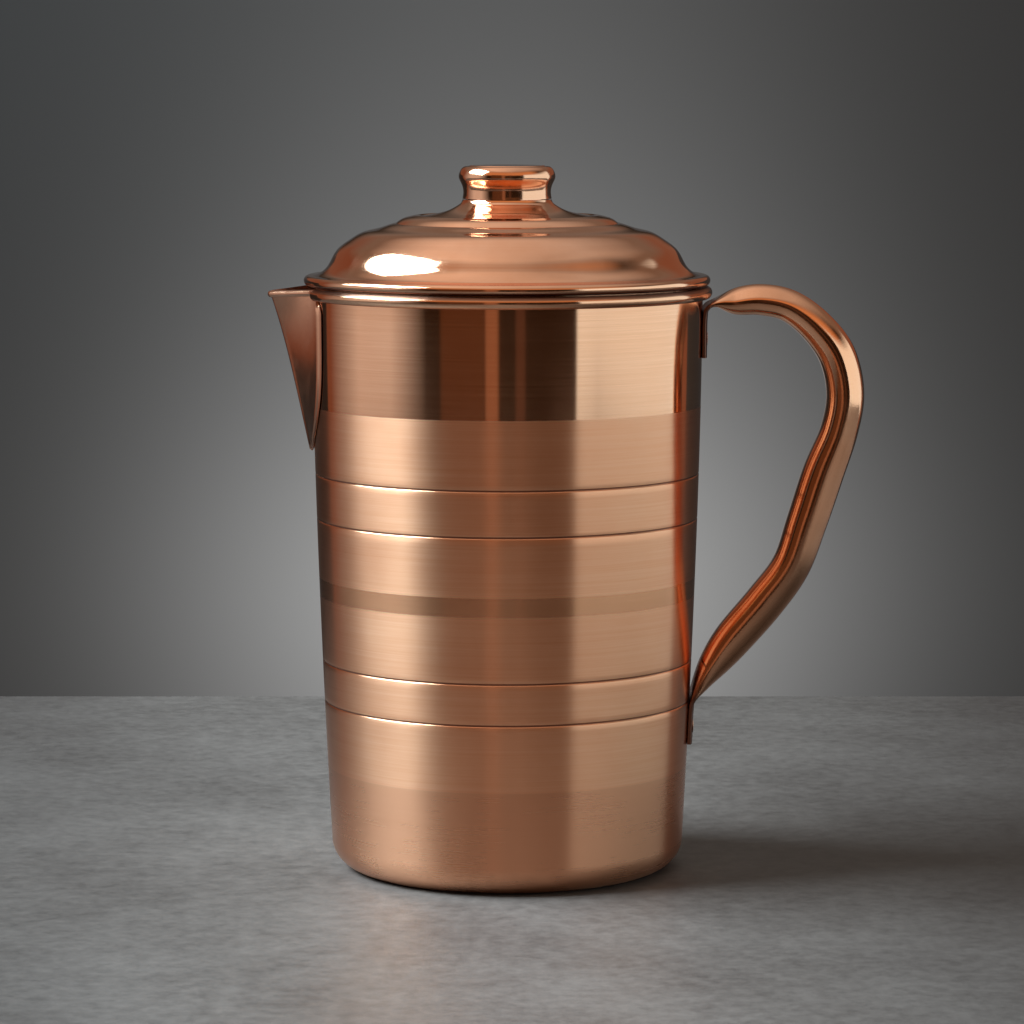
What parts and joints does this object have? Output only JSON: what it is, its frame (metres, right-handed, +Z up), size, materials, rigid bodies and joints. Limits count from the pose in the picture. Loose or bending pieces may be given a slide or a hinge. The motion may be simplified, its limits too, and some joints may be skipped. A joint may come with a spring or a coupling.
{
  "type": "copper water jug",
  "caption": "Tall tapered copper water jug with engraved and brushed bands, a folded beak spout, a hollow loop handle and a domed lift-off lid with a spool knob.",
  "frame": {"origin": "centre of the flat base, on the surface that the jug stands on", "axes": "+Z up along the jug's axis, -X towards the spout, +X towards the handle, the XZ plane is the mirror plane"},
  "size_m": [0.1952, 0.1336, 0.2302],
  "materials": {
    "body_copper": "copper, polished above and brushed along bands, engraved lines",
    "wire_copper": "plain drawn copper wire",
    "spout_copper": "polished copper",
    "handle_copper": "mirror-polished copper",
    "rivet_copper": "satin copper",
    "lid_copper": "mirror-polished copper",
    "collar_copper": "satin copper",
    "knob_copper": "mirror-polished copper"
  },
  "bodies": {
    "jug": {"jug_body": "body_copper", "rim_wire": "wire_copper", "spout": "spout_copper", "handle": "handle_copper", "upper_rivet_1": "rivet_copper", "upper_rivet_2": "rivet_copper", "lower_rivet_1": "rivet_copper", "lower_rivet_2": "rivet_copper"},
    "lid": {"lid_dome": "lid_copper", "lid_collar": "collar_copper", "knob": "knob_copper"}
  },
  "joints": [
    {"name": "lid_lift", "type": "slide", "parent": "jug", "child": "lid", "axis": [0, 0, 1], "range_m": [0, 0.12]}
  ]
}
